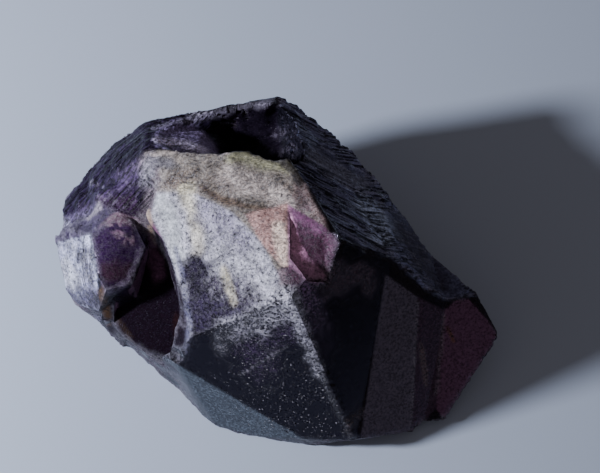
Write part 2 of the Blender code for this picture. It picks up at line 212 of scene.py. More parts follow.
def neighbour_mean(values, edges):
    """The mean of each point's neighbours, for a number or a place at each point."""
    total = np.zeros_like(values)
    count = np.zeros(len(values))
    for here, there in ((0, 1), (1, 0)):
        np.add.at(total, edges[:, here], values[edges[:, there]])
        np.add.at(count, edges[:, here], 1.0)
    count = np.maximum(count, 1.0)
    return total / (count[:, None] if values.ndim == 2 else count)


def mean(values):
    return round(float(values.mean()), 3)


def ramp(values, low, high):
    """0 below low, 1 above high, and a smooth rise between."""
    share = np.clip((values - low) / (high - low), 0.0, 1.0)
    return share * share * (3.0 - 2.0 * share)


spots = read_points(crystal)
facing = read_normals(crystal)
edges = read_edges(crystal)
print("mean edge, mm:", mean(np.linalg.norm(spots[edges[:, 0]] - spots[edges[:, 1]], axis=1)))

# %% [markdown]
# Frost, fibres and breaks each have their place on the crystal. A picture painted by hand would need a UV map
# with seams across the faces, so an airbrush of a few lines works on the points themselves. A stroke is a path on
# the plan with a width, and a region is an outline on the plan. Both only reach what faces up, because a plan
# says nothing of the underside. A column reaches the walls too.

# %% Airbrush
def distance_to_path(path):
    """How far each point is, on the plan, from a path, and how far along the path it is, from 0 to 1."""
    path = np.array(path, dtype=float)
    best = np.full(len(spots), np.inf)
    along = np.zeros(len(spots))
    for number, (start, end) in enumerate(zip(path[:-1], path[1:])):
        run = end - start
        share = np.clip((spots[:, :2] - start) @ run / (run @ run), 0.0, 1.0)
        away = np.linalg.norm(spots[:, :2] - start - share[:, None] * run, axis=1)
        closer = away < best
        best[closer] = away[closer]
        along[closer] = (number + share[closer]) / (len(path) - 1)
    return best, along


def upward():
    """1 where the surface faces up, 0 where it is upright or hangs over, and a smooth change between."""
    return ramp(facing[:, 2], 0.0, 0.25)


def stroke(path, width):
    """1 within half the width of a path, fading to 0 at one and a half widths."""
    away, _ = distance_to_path(path)
    return (1.0 - ramp(away, 0.5 * width, 1.5 * width)) * faces_up


def inside(outline):
    """1 for points whose place on the plan lies inside an outline."""
    outline = np.array(outline, dtype=float)
    found = np.zeros(len(spots), dtype=bool)
    for (ax, ay), (bx, by) in zip(outline, np.roll(outline, -1, axis=0)):
        spans = (ay > spots[:, 1]) != (by > spots[:, 1])
        with np.errstate(divide="ignore", invalid="ignore"):
            crossing = ax + (spots[:, 1] - ay) * (bx - ax) / (by - ay)
        found ^= spans & (spots[:, 0] < crossing)
    return found.astype(float)


def column(outline, soft):
    """inside() with a border that fades over a width in millimetres; walls under it belong to it as well."""
    away, _ = distance_to_path(list(outline) + [outline[0]])
    signed = np.where(inside(outline) > 0.5, away, -away)
    return ramp(signed, -0.5 * soft, 0.5 * soft)


def region(outline, soft):
    """The part of a column that faces up."""
    return column(outline, soft) * faces_up


faces_up = upward()
print("share that faces up:", mean(faces_up))

# %% [markdown]
# The crystal's places, named once as outlines and lines on the plan. The slab's crest and left edge, the
# crown's rim and the shoulder line above the striated side are the lines that the rest is set out from.

# %% Places on the crystal
CREST = [(-22.5, 9.0), (-15.5, 8.0), (-8.0, 3.5), (-2.5, -2.5), (0.5, -8.0), (3.0, -12.5)]
SLAB_LEFT = [(-22.5, 9.0), (-23.6, 4.8), (-21.0, 0.5), (-17.5, -9.0), (-16.0, -16.5)]
CROWN_RIM = [(-25.0, 17.5), (-15.5, 18.0), (-7.5, 16.0), (2.0, 15.0), (5.0, 11.5), (7.5, 5.5), (10.0, 0.0)]
SHOULDER_LINE = [(3.0, 15.5), (12.5, -1.0), (22.5, -2.5), (28.5, -6.0), (33.5, -7.0), (39.5, -5.5)]
BACK_RIGHT = [(41.0, -5.0), (34.0, 6.0), (20.0, 22.0), (4.0, 34.0), (0.0, 34.0)]
LIT_FACE = CREST + SLAB_LEFT[:0:-1]
CROWN = CREST[:5] + [(2.7, -5.5), (2.7, 5.0), (9.5, 0.5)] + CROWN_RIM[::-1]
WEDGE = [(-5.5, 3.0), (2.7, 5.5), (2.7, -6.8), (1.6, -7.0), (-2.5, -2.5)]
STRIATED_SIDE = SHOULDER_LINE + BACK_RIGHT
UPPER_LEFT = [
    (-22.8, 9.5), (-25.0, 17.5), (-15.0, 18.5), (-13.0, 26.0), (-10.0, 34.0), (-48.0, 34.0), (-48.0, 9.0),
    (-34.0, 11.0), (-28.0, 8.0),
]
VIOLET_FACET = [(2.7, 5.0), (2.7, -6.8), (1.2, -7.6), (3.2, -12.0), (6.5, -9.7), (9.5, -9.0), (12.3, -2.5), (9.5, 0.5)]
HOLLOW = [
    (-24.0, 19.0), (-14.0, 17.5), (-2.0, 15.0), (3.5, 16.5), (5.0, 24.0), (1.0, 29.5), (-10.0, 30.0), (-21.0, 26.5),
]
RECESS = [
    (-24.0, 8.5), (-19.5, 3.0), (-16.5, -5.0), (-15.0, -16.0), (-19.0, -19.0), (-32.0, -15.0), (-35.0, -7.0),
    (-28.0, -5.0), (-25.5, 2.0),
]
SIDE_FACET_LEFT = [(-44.5, 5.5), (-36.0, 4.5), (-34.4, -4.0), (-34.8, -8.6), (-41.0, -8.0), (-46.0, -2.0)]
SIDE_FACET_TOP = [(-36.0, 4.5), (-34.5, 8.0), (-31.0, 8.5), (-26.0, 7.0), (-25.0, 2.0), (-29.0, -6.0), (-33.5, -7.0)]
SIDE_CAP = [(-45.0, 5.5), (-36.0, 4.5), (-31.5, 8.5), (-36.5, 11.5), (-43.0, 12.0), (-46.0, 9.0)]
GREY_FACE = [(21.1, -5.0), (27.7, -7.5), (27.0, -30.0), (16.5, -32.5)]
PLUM_BAND = [(27.7, -7.5), (33.1, -8.5), (31.9, -25.0), (27.0, -30.0)]
PLUM_END = [(33.1, -8.5), (37.0, -5.5), (46.0, -12.0), (34.5, -28.0), (31.9, -25.0)]
print("share of points over the lit face:", mean(inside(LIT_FACE)), "over the crown:", mean(inside(CROWN)))

# %% [markdown]
# The striated side needs smaller cells than the rest, because its growth steps are under a millimetre apart.
# Its faces are picked by their place and the way they face, and subdivided once. Finer cells all over would
# only make the mesh heavy.

# %% Finer cells on the striated side
picked = region(STRIATED_SIDE, 0.1) * ramp(facing[:, 2], 0.2, 0.3)
only(crystal)
bpy.ops.object.mode_set(mode="EDIT")
bpy.ops.mesh.select_mode(type="VERT")
bpy.ops.mesh.select_all(action="DESELECT")
bpy.ops.object.mode_set(mode="OBJECT")
crystal.data.vertices.foreach_set("select", picked > 0.5)
bpy.ops.object.mode_set(mode="EDIT")
bpy.ops.mesh.select_mode(type="FACE")
bpy.ops.mesh.subdivide(number_cuts=1)
bpy.ops.object.mode_set(mode="OBJECT")
spots = read_points(crystal)
facing = read_normals(crystal)
edges = read_edges(crystal)
faces_up = upward()
print("points after subdividing:", len(spots))

# %% [markdown]
# The faceted solid stands for broken and grainy places with coarse facets. They are smoothed first, so that the
# finer relief that follows isn't laid over big flat triangles.

# %% Smooth the broken places
def settle(points, share, rounds):
    """Moves points towards the mean of their neighbours, by a share that differs from place to place."""
    for _ in range(rounds):
        points = points + (share * 0.5)[:, None] * (neighbour_mean(points, edges) - points)
    return points


def update():
    """Writes the points to the mesh and reads the new normals."""
    global facing, faces_up
    write_points(crystal, spots)
    facing = read_normals(crystal)
    faces_up = upward()


hollow = region(HOLLOW, 1.2)
upper_left = region(UPPER_LEFT, 1.6)
crown = region(CROWN, 0.8)
lit_face = region(LIT_FACE, 0.8)
underside = 1.0 - ramp(facing[:, 2], -0.15, 0.15)
broken = np.clip(hollow + 0.8 * underside + 0.7 * upper_left + 0.5 * crown + 0.6 * lit_face, 0.0, 1.0)
spots = settle(spots, broken, rounds=12)
update()
print("smoothed share:", mean(broken))

# %% [markdown]
# Some forms are easier to add to the fine mesh than to the faceted solid. Three places are filled up to a new
# surface: the violet facet, which falls away from the wedge without a deep notch, the lit slope on the left of
# the hollow, and the gully between the shoulder and the side crystal, in two pieces. The slab's thin left corner
# is pulled out over the recess, and the hollow's thin back wall is thickened inwards.

# %% Fill and pull
UPPER_HALF = 17.0


def fill(points, outline, soft, height):
    """Raises the surface inside an outline to a height given for each point, and lowers nothing."""
    back_wall = (points[:, 1] > 24.0) & (facing[:, 1] > 0.2)
    upper = (points[:, 2] > UPPER_HALF) & (facing[:, 2] > -0.5) & ~back_wall
    rise = np.maximum(height - points[:, 2], 0.0) * column(outline, soft) * upper
    return points + rise[:, None] * np.array((0.0, 0.0, 1.0))


def pull(points, centre, radius, move):
    """Moves the points round a place by a distance that fades to nothing at the radius."""
    away = np.linalg.norm(points - np.array(centre), axis=1)
    return points + (1.0 - ramp(away, 0.0, radius))[:, None] * np.array(move)


x, y = spots[:, 0], spots[:, 1]
VIOLET_FILL = [(2.6, 5.0), (2.6, -8.0), (5.0, -9.0), (9.5, -9.0), (12.0, -2.5), (9.5, 0.5)]
wedge_side = np.clip(1.0 - (x - 2.8) / 7.2, 0.0, 1.0)
violet_height = 37.2 + 0.30 * (x - 4.0) + 0.56 * (y + 0.5) + 0.44 * (4.0 - y) * wedge_side
spots = fill(spots, VIOLET_FILL, 0.2, violet_height)
SLOPE_FILL = [(-25.5, 17.4), (-14.0, 17.3), (-7.0, 17.2), (-7.0, 26.5), (-14.0, 28.0), (-22.0, 29.0), (-26.0, 27.0)]
slope_height = 34.6 - 0.83 * (y - 18.0) - 0.2 * (x + 24.0) - 0.10 * np.maximum(x + 15.0, 0.0) ** 2
spots = fill(spots, SLOPE_FILL, 0.6, slope_height)
GULLY = [(-36.0, 7.0), (-28.0, 7.6), (-26.8, 6.4), (-23.3, 6.4), (-23.0, 14.0), (-36.0, 13.5)]
gully_height = 26.3 - 0.45 * np.maximum(-30.0 - x, 0.0) + (0.45 + 0.07 * np.maximum(x + 30.0, 0.0)) * (y - 7.5)
spots = fill(spots, GULLY, 1.0, gully_height)
GULLY_FOOT = [(-27.6, 8.0), (-26.6, 3.6), (-23.0, 3.6), (-22.8, 8.0)]
spots = fill(spots, GULLY_FOOT, 1.0, 25.0 + 1.1 * (y - 6.0))
spots = pull(spots, centre=(-21.8, 4.6, 33.4), radius=6.0, move=(-2.6, 0.3, 0.0))
BACK_WALL = [(-17.0, 26.0), (-10.0, 26.5), (-1.0, 26.0), (-1.0, 32.0), (-17.0, 32.0)]
thicker = column(BACK_WALL, 3.0) * (spots[:, 2] > UPPER_HALF) * ramp(-facing[:, 1], 0.1, 0.5)
spots = spots + thicker[:, None] * np.array((0.0, -1.2, 0.0))
update()
print("highest point after filling, mm:", round(float(spots[:, 2].max()), 2))

# %% [markdown]
# A filled surface meets its surroundings in a crease. The borders, the violet facet's upper edge and the outer
# edge of the side crystal's cap are smoothed, so that none of them looks cut. Then the masks of the places are
# measured on the new shape, because a mask depends on which way the surface faces.

# %% Settle the joins and measure the places
facet_edge = stroke([(2.6, 5.2), (6.0, 3.0), (9.8, 0.6)], 1.3)
cap_edge = stroke([(-46.0, 3.0), (-45.0, 7.0), (-43.5, 11.0)], 1.6)
filled = np.maximum(column(SLOPE_FILL, 1.0), column(GULLY, 2.5))
filled = np.maximum(filled, facet_edge) * (spots[:, 2] > UPPER_HALF)
filled = np.maximum(filled, cap_edge)
spots = settle(spots, filled, rounds=18)
update()

LIT_SLOPE = [(-25.5, 17.4), (-11.0, 17.3), (-12.0, 22.0), (-16.0, 27.0), (-24.0, 27.0)]
lit_face = region(LIT_FACE, 0.8)
crown = region(CROWN, 0.8)
wedge = region(WEDGE, 0.6) * ramp(facing[:, 2], 0.8, 0.9)
striated = region(STRIATED_SIDE, 0.6)
upper_left = region(UPPER_LEFT, 1.6)
hollow = region(HOLLOW, 1.2)
lit_slope = region(LIT_SLOPE, 2.0)
recess = region(RECESS, 0.5) * (1.0 - region(SIDE_FACET_TOP, 0.3))
violet_facet = region(VIOLET_FACET, 0.4)
side_left = region(SIDE_FACET_LEFT, 0.3)
side_top = region(SIDE_FACET_TOP, 0.4)
side_cap = region(SIDE_CAP, 1.0)
underside = 1.0 - ramp(facing[:, 2], -0.15, 0.15)
print("hollow, share:", mean(hollow), "striated side:", mean(striated))

# %% [markdown]
# Relief is a height over the surface, added up from noise of several sizes and from ledges. A growth ledge
# rises slowly and drops suddenly, so it is a saw wave across the growth lines, bent a little by noise. A
# Displace modifier with a texture could do the noise, but not ledges that follow each face's own direction.

# %% Grain and ledges
LEDGE_RISE = 0.82


def grain(size, seed):
    """A smooth random value for each point, whose bumps are about this size in millimetres."""
    shift = Vector((seed * 17.3, seed * 5.1, seed * 9.7))
    return np.array([noise.noise(Vector(spot) / size + shift) for spot in spots])


def unit(way):
    way = np.array(way, dtype=float)
    return way / np.linalg.norm(way)


def across(face_normal, along):
    """The direction in a face at right angles to its growth lines."""
    return unit(np.cross(unit(face_normal), unit(along)))


def saw(values):
    """Slow rise and sudden drop, as growth ledges have."""
    share = values - np.floor(values)
    return np.where(share < LEDGE_RISE, share / LEDGE_RISE, (1.0 - share) / (1.0 - LEDGE_RISE))


medium = grain(3.0, 1)
fine = grain(1.0, 2)
large = grain(9.0, 3)
print("grain, mean height:", mean(np.abs(medium)))

# %% [markdown]
# The striated side carries steps in two directions, which meet along a line, and two smoother patches. The
# shoulder has layers of two widths, one over the other. All spacings and heights are in millimetres.

# %% Growth steps and layers
MAIN_GROWTH = unit((1.0, -0.32, -0.62))
SECOND_GROWTH = unit((1.0, 0.2, -0.9))
LAYER_GROWTH = unit((0.675, 0.558, 0.483))
STRIATED_NORMAL = (0.57, 0.40, 0.72)
SHOULDER_NORMAL = (-0.61, 0.30, 0.73)
MAIN_LINES = across(STRIATED_NORMAL, MAIN_GROWTH)
SECOND_LINES = across(STRIATED_NORMAL, SECOND_GROWTH)
LAYER_LINES = across(SHOULDER_NORMAL, LAYER_GROWTH)
MAIN_SPACING = 0.95
SECOND_SPACING = 0.85
LAYER_SPACING = 1.6
STEP_HEIGHT = 0.22
LAYER_HEIGHT = 0.26

second_patch = ramp(spots[:, 0] + 0.45 * spots[:, 1], 20.3, 21.3)
upper_patch = stroke([(7.5, 19.5), (12.0, 17.5), (16.5, 16.0)], 2.2)
lower_patch = stroke([(25.0, 8.0), (30.0, 1.0), (34.0, -3.5)], 3.5)
smooth_patch = np.clip(upper_patch + lower_patch, 0.0, 1.0)
main_steps = saw((spots @ MAIN_LINES + 0.6 * medium) / MAIN_SPACING + 0.5 * large)
second_steps = saw((spots @ SECOND_LINES + 0.3 * medium) / SECOND_SPACING)
steps = main_steps * (1.0 - second_patch) + second_steps * second_patch
flake = ramp(medium + 0.6 * large, -0.25, 0.1)
relief = striated * (1.0 - 0.9 * smooth_patch) * (STEP_HEIGHT * steps * (0.4 + 0.8 * flake) + 0.02 * fine)
relief += striated * (0.13 * medium + 0.16 * flake * (1.0 - smooth_patch))

broad_layers = saw((spots @ LAYER_LINES + 0.9 * medium) / LAYER_SPACING)
narrow_layers = saw((spots @ LAYER_LINES + 0.5 * medium) / (0.5 * LAYER_SPACING))
layers = broad_layers + 0.6 * narrow_layers
relief += upper_left * (LAYER_HEIGHT * layers + 0.08 * fine)
print("steps and layers, highest, mm:", round(float(relief.max()), 2))

# %% [markdown]
# The other places get their own relief: low fibrous ledges on the crown, a slight swell on the white face and the
# violet facet, chips in the hollow, and broad ledges with a rough grain on the broken underside. The clear tip
# faces get none, since they are as flat as glass.

# %% Relief of the broken and frosted places
crown_run = spots[:, 1] + 0.9 * medium + 0.12 * spots[:, 0] + 0.02 * spots[:, 0] ** 2
relief += crown * (0.15 * saw(crown_run / 1.4) + 0.08 * fine + 0.3 * medium)
relief += lit_face * (0.2 * medium + 0.12 * fine)
chips = saw((spots @ unit((0.3, -0.5, 0.8)) + 0.8 * medium) / 1.3)
relief += hollow * (1.0 - lit_slope) * (0.25 * large + 0.2 * medium + 0.1 * fine + 0.22 * chips)
relief += underside * (0.35 * medium + 0.12 * fine + 0.5 * large)
relief += underside * 0.22 * saw((spots @ unit((0.35, 0.2, 1.0)) + 1.6 * medium + 2.0 * large) / 2.4)
relief += side_cap * (0.1 * fine + 0.15 * medium)
relief += violet_facet * (0.2 * medium + 0.06 * fine)
spots = spots + facing * relief[:, None]
print("relief, mm: from", round(float(relief.min()), 2), "to", round(float(relief.max()), 2))

# %% [markdown]
# No ridge of a handled crystal is a perfect line: it is chipped and bruised white. The points on sharp edges
# are found by the angle between their faces, and sink by a random amount that fades into the faces beside. A
# Bevel modifier would round them evenly, as on a cut stone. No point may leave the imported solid's box.

# %% Worn edges
RIDGE_ANGLE = math.radians(24.0)
LEAST_BITE = 0.05
DEEPEST_BITE = 0.18


def sharp_points(piece, angle):
    """1 for points on an outward edge whose faces meet at more than an angle."""
    found = np.zeros(len(piece.data.vertices))
    mesh = bmesh.new()
    mesh.from_mesh(piece.data)
    for edge in mesh.edges:
        if edge.is_manifold and edge.calc_face_angle_signed() > angle:
            found[[vertex.index for vertex in edge.verts]] = 1.0
    mesh.free()
    return found


ridge = sharp_points(crystal, RIDGE_ANGLE)
wear = np.maximum(ridge, 0.6 * (neighbour_mean(ridge, edges) > 0.0))
bites = LEAST_BITE + DEEPEST_BITE * np.clip(grain(0.9, 5) + 0.5 * grain(2.6, 6), 0.0, 1.0)
spots = spots - facing * (wear * bites)[:, None]
box_low, box_high = (np.array(corner) / MM for corner in cad_box)
spots = np.clip(spots, box_low, box_high)
update()
print("points on ridges:", int(ridge.sum()))

# %% [markdown]
# The finish is clear quartz with a crust on it. The crust is all that isn't clear: frost, pale fibres, stain, and
# the dark or violet veils just under a face. Each stroke lays a colour on the crust and says how much of the
# clear quartz it covers, how grainy its border is, and how many white threads cross it.

# %% Brush
DEEP_VIOLET_AND_SHADE = (0.006, 0.004, 0.009)
wander = np.stack([grain(2.2, 11), grain(2.2, 12)], axis=1)
crust = np.tile(np.array(DEEP_VIOLET_AND_SHADE), (len(spots), 1))
cover = np.zeros(len(spots))
grit = np.zeros(len(spots))
threads = np.zeros(len(spots))


def lay(amount, colour, opacity, gritty, threaded=0.0):
    """Lays a colour on the crust where the amount is over nothing."""
    global crust, cover, grit, threads
    amount = np.clip(amount, 0.0, 1.0)
    crust = crust + amount[:, None] * (np.array(colour) - crust)
    cover = cover + amount * (opacity - cover)
    grit = grit + amount * (gritty - grit)
    threads = threads + amount * (threaded - threads)


def dab(path, width, strength=0.9, end_strength=None):
    """A stroke whose border wanders, as a stain's does."""
    away, along = distance_to_path(path)
    away = away + 0.5 * width * (wander[:, 0] + 0.6 * medium)
    end_strength = strength if end_strength is None else end_strength
    force = strength + (end_strength - strength) * along
    return force * (1.0 - ramp(away, 0.35 * width, 1.45 * width)) * faces_up


# %% [markdown]
# First come the dark places: the underside, the upright walls, the hollow, the striated side, the shoulder and the
# recess. They are nearly closed, because the quartz there is deep violet and full of cracks; in the hollow the
# near-black is partly painted shade.

# %% Paint the underside, the walls and the hollow
UNDER_BROWN = (0.055, 0.034, 0.062)
UNDER_GREY = (0.13, 0.12, 0.16)
WALL = (0.010, 0.006, 0.014)

lay(underside, UNDER_BROWN, 0.7, 0.5, 0.2)
lay(underside * ramp(medium + large, 0.0, 0.5) * 0.8, UNDER_GREY, 0.8, 0.8, 0.5)
upright = (1.0 - faces_up) * ramp(facing[:, 2], -0.3, -0.1)
walls = upright * ramp(spots[:, 2], 12.0, 15.0) * ramp(spots[:, 0], -41.5, -39.0)
lay(walls, WALL, 0.92, 0.3)
# Painted shade, in part: the hollow is closed in near-black, partly its deep violet quartz and partly painted shade.
lay(hollow, DEEP_VIOLET_AND_SHADE, 0.94, 0.3)
print("walls and hollow done, mean cover:", mean(cover))

# %% [markdown]
# The striated side is slate, with painted sheen in bands where the steps would catch the light. The wall that
# falls from its left edge into the hollow is painted nearly black as shade, with one painted glint.

# %% Paint the striated side
SLATE = (0.085, 0.090, 0.165)
BLUE_GREY = (0.11, 0.11, 0.20)
GREY_PAINTED_SHEEN = (0.17, 0.18, 0.27)
BLUE_PAINTED_SHEEN = (0.27, 0.32, 0.47)
DARK_BAND = (0.035, 0.03, 0.055)
RIM_PAINTED_SHADE = (0.004, 0.004, 0.007)
RIM_PAINTED_GLINT = (0.11, 0.13, 0.21)

lay(striated, SLATE, 0.85, 0.0)
lay(dab([(7.2, 28.7), (11.8, 25.1), (16.3, 20.5)], 2.2, 0.5), BLUE_GREY, 0.85, 0.0)
# Painted sheen: the grey and blue bands stand in for light that the steps catch.
lay(dab([(7.5, 18.6), (12.0, 16.6), (16.5, 15.0)], 2.4, 0.9), GREY_PAINTED_SHEEN, 0.9, 0.0)
lay(dab([(18.0, 9.5), (20.8, 6.0), (20.0, 2.6)], 2.8, 0.95), BLUE_PAINTED_SHEEN, 0.9, 0.0)
lay(dab([(25.0, 6.0), (32.0, -3.0)], 2.6, 0.7), DARK_BAND, 0.85, 0.0)
# Painted shade and a painted glint: this wall faces the lamp, but it is painted nearly black with one small pale
# glint.
rim_wall = column([(0.0, 30.0), (7.0, 30.0), (9.0, 15.5), (2.0, 15.5)], 1.0) * ramp(-facing[:, 0], -0.1, 0.15)
lay(rim_wall, RIM_PAINTED_SHADE, 0.92, 0.3)
lay(dab([(5.4, 25.5), (7.2, 22.5)], 0.9, 0.8), RIM_PAINTED_GLINT, 0.9, 0.1)
print("striated side done, rim wall:", mean(rim_wall))

# %% [markdown]
# The shoulder's layers show as faint violet edges on a dark ground. On the left of the hollow a slope gets painted
# light: only its faces that look into the hollow, away from the lamp, are painted pale, with a painted highlight.

# %% Paint the shoulder and the lit slope
SHOULDER_DARK = (0.005, 0.003, 0.010)
LAYER_EDGE = (0.023, 0.016, 0.040)
SHOULDER_VIOLET = (0.030, 0.018, 0.050)
SHOULDER_BLUE = (0.010, 0.006, 0.020)
GULLY_PLUM = (0.022, 0.008, 0.030)
NIGHT_VIOLET = (0.009, 0.006, 0.016)
SLOPE_PAINTED_LIGHT = (0.21, 0.17, 0.34)
SLOPE_PAINTED_GLINT = (0.70, 0.62, 0.92)
RIM_PAINTED_HIGHLIGHT = (0.10, 0.09, 0.135)

lay(upper_left, SHOULDER_DARK, 0.92, 0.1, 0.02)
lay(upper_left * ramp(layers, 1.15, 1.45) * 0.7, LAYER_EDGE, 0.92, 0.2, 0.08)
lay(dab([(-36.0, 12.5), (-30.0, 13.5), (-25.5, 14.0)], 2.6, 0.8), SHOULDER_VIOLET, 0.92, 0.3, 0.08)
lay(dab([(-39.0, 15.0), (-35.5, 14.0), (-32.0, 14.0)], 2.0, 0.9), SHOULDER_BLUE, 0.92, 0.2, 0.03)
lay(dab([(-33.5, 10.0), (-28.5, 9.5), (-25.5, 6.5)], 1.6, 0.85), GULLY_PLUM, 0.92, 0.2, 0.15)
lay(dab([(-43.5, 12.5), (-39.5, 17.5)], 2.0), NIGHT_VIOLET, 0.9, 0.0)
into_hollow = ramp(facing[:, 0], -0.12, 0.12)
# Painted light: these faces turn away from the lamp, so their pale violet and the highlight along them are painted.
lay(lit_slope * into_hollow, SLOPE_PAINTED_LIGHT, 0.92, 0.15, 0.05)
lay(dab([(-23.5, 20.5), (-18.5, 21.0), (-14.5, 19.5)], 1.3, 0.9) * into_hollow, SLOPE_PAINTED_GLINT, 0.92, 0.2, 0.12)
# A painted highlight: a thin pale line along the hollow's back rim, where the rim catches the light.
lay(dab([(-24.0, 25.0), (-15.0, 28.2), (-6.0, 30.0), (1.0, 31.0)], 0.7, 0.8), RIM_PAINTED_HIGHLIGHT, 0.92, 0.1)
print("shoulder done, lit slope:", mean(lit_slope * into_hollow))

# %% [markdown]
# The recess between the slab and the side crystal is the darkest place. A pink painted glow lightens the side
# crystal's shadow at its upper end, and its rim is brown with a line of frost.

# %% Paint the recess
RECESS_BLACK = (0.005, 0.002, 0.005)
RECESS_PAINTED_GLOW = (0.16, 0.07, 0.13)
RECESS_RED = (0.018, 0.006, 0.006)
RIM_BROWN = (0.026, 0.015, 0.008)
RIM_FROST = (0.045, 0.045, 0.065)

lay(recess, RECESS_BLACK, 0.92, 0.25)
# Painted glow: a lighter pink patch in the side crystal's shadow at the recess's upper end.
lay(dab([(-25.0, 5.0), (-23.6, 1.5), (-23.2, -1.5)], 1.6) * recess, RECESS_PAINTED_GLOW, 0.92, 0.3)
lay(dab([(-19.6, -9.0), (-19.2, -15.5)], 0.7, 0.7) * recess, RECESS_RED, 0.92, 0.2)
lay(dab([(-31.2, -9.5), (-28.8, -12.6)], 0.5, 0.7), RIM_BROWN, 0.8, 0.4)
lay(dab([(-33.0, -12.5), (-27.0, -16.0), (-19.0, -19.0)], 1.4, 0.7), RIM_FROST, 0.7, 0.9, 0.3)
print("dark places done, mean cover:", mean(cover))

# %% [markdown]
# The side crystal has a violet face on top, with a pink veil at its upper edge and brown below, a speckled cap,
# and a frosted face on the left that is whitest at its outer edge and bare at its foot.

# %% Paint the side crystal
SIDE_VIOLET = (0.028, 0.010, 0.048)
PINK_VEIL = (0.16, 0.09, 0.13)
PINK_FLAKE = (0.22, 0.13, 0.19)
SIDE_WALL_PAINTED_GLOW = (0.30, 0.15, 0.26)
SIDE_PLUM = (0.045, 0.018, 0.034)
EDGE_VEIL = (0.14, 0.10, 0.18)
CAP_VIOLET = (0.040, 0.030, 0.068)
CAP_GREY = (0.15, 0.15, 0.23)
CAP_PALE = (0.22, 0.19, 0.26)
SIDE_FROST = (0.26, 0.275, 0.43)
SIDE_WHITE = (0.46, 0.48, 0.60)
SIDE_GREY = (0.13, 0.125, 0.21)
SIDE_FOOT = (0.045, 0.042, 0.08)
AMBER = (0.075, 0.042, 0.02)

lay(side_top, SIDE_VIOLET, 0.85, 0.1, 0.1)
lay(dab([(-34.5, 7.0), (-31.0, 8.0), (-27.0, 6.5)], 1.2, 0.8) * side_top, PINK_VEIL, 0.9, 0.4, 0.6)
pink_flakes = stroke([(-31.5, 6.2), (-28.6, 3.6)], 1.5) * ramp(fine, 0.0, 0.35)
lay(pink_flakes * side_top * 0.8, PINK_FLAKE, 0.9, 0.6, 0.5)
# Painted glow: the side crystal's right wall faces away from the lamp and lies in shade, so it is painted a lighter
# pink.
right_wall = walls * column([(-27.5, 7.0), (-23.5, 7.0), (-23.5, -4.0), (-31.0, -10.0), (-33.0, -8.0)], 0.6)
lay(right_wall * ramp(facing[:, 0], 0.4, 0.6), SIDE_WALL_PAINTED_GLOW, 0.92, 0.5, 0.3)
lay(dab([(-32.5, -3.0), (-28.5, -2.5)], 2.0, 0.8) * side_top, SIDE_PLUM, 0.85, 0.2, 0.1)
lay(dab([(-32.5, -6.5), (-28.5, -4.5), (-26.0, 1.5)], 0.6, 0.8) * side_top, EDGE_VEIL, 0.9, 0.4, 0.6)
lay(side_cap, CAP_VIOLET, 0.9, 0.6, 0.12)
lay(dab([(-45.0, 8.5), (-42.5, 10.5)], 1.2, 0.6), CAP_GREY, 0.9, 0.8, 0.3)
lay(dab([(-36.6, 9.0), (-34.5, 9.8)], 0.8, 0.8), CAP_PALE, 0.92, 0.6, 0.5)
lay(side_left, SIDE_FROST, 0.9, 1.0, 0.5)
lay(dab([(-42.0, 1.0), (-40.0, -3.0)], 1.4, 0.6) * side_left, SIDE_WHITE, 0.9, 0.8, 0.5)
lay(dab([(-37.3, 1.0), (-36.2, -5.0)], 1.4, 0.6) * side_left, SIDE_GREY, 0.9, 0.9, 0.4)
lay(dab([(-42.0, -4.5), (-38.5, -6.3), (-35.5, -7.5)], 2.4, 0.95) * side_left, SIDE_FOOT, 0.88, 0.9, 0.15)
lay(dab([(-33.8, -6.0), (-33.2, -9.0)], 0.8, 0.8), AMBER, 0.85, 0.4)
print("side crystal done, mean cover:", mean(cover))

# %% [markdown]
# The slab's crown is khaki with pale and brown fibres across it, a plum tone at its left end and a rosy one at
# its right. The slab's steep back, which falls into the hollow, is painted dark like the hollow: partly deep
# violet, partly painted shade.

# %% Paint the crown
KHAKI = (0.20, 0.172, 0.157)
GREEN_KHAKI = (0.25, 0.245, 0.16)
CROWN_PALE = (0.52, 0.44, 0.43)
BROWN = (0.11, 0.075, 0.055)
CROWN_PLUM = (0.11, 0.085, 0.11)
CROWN_ROSE = (0.30, 0.20, 0.22)
LIGHT_BROWN = (0.13, 0.10, 0.085)
CROWN_DARK_END = (0.045, 0.038, 0.04)
CROWN_WINE = (0.16, 0.095, 0.13)
CROWN_GREY = (0.12, 0.115, 0.15)

lay(crown, KHAKI, 0.97, 0.6, 0.4)
lay(dab([(-24.2, 16.0), (-23.0, 11.0), (-25.0, 6.5)], 2.0), CROWN_PLUM, 0.95, 0.5, 0.45)
lay(dab([(-8.0, 15.5), (-4.0, 14.5), (2.5, 13.0)], 1.6, 0.8), GREEN_KHAKI, 0.97, 0.2, 0.2)
lay(dab([(-9.0, 10.5), (-3.0, 8.5), (2.5, 6.5), (6.0, 3.5)], 2.2, 0.85), CROWN_PALE, 0.97, 0.7, 0.6)
lay(dab([(5.0, 9.0), (7.5, 4.0), (9.0, 1.0)], 1.3, 0.7), CROWN_ROSE, 0.95, 0.4, 0.6)
lay(dab([(-18.5, 12.2), (-15.5, 11.8)], 1.1, 0.55), BROWN, 0.95, 0.9, 0.5)
lay(dab([(-20.5, 10.8), (-17.0, 10.2)], 1.3, 0.65), BROWN, 0.95, 0.9, 0.4)
lay(dab([(-12.5, 10.4), (-9.0, 9.4)], 1.6, 0.5), LIGHT_BROWN, 0.95, 0.8, 0.5)
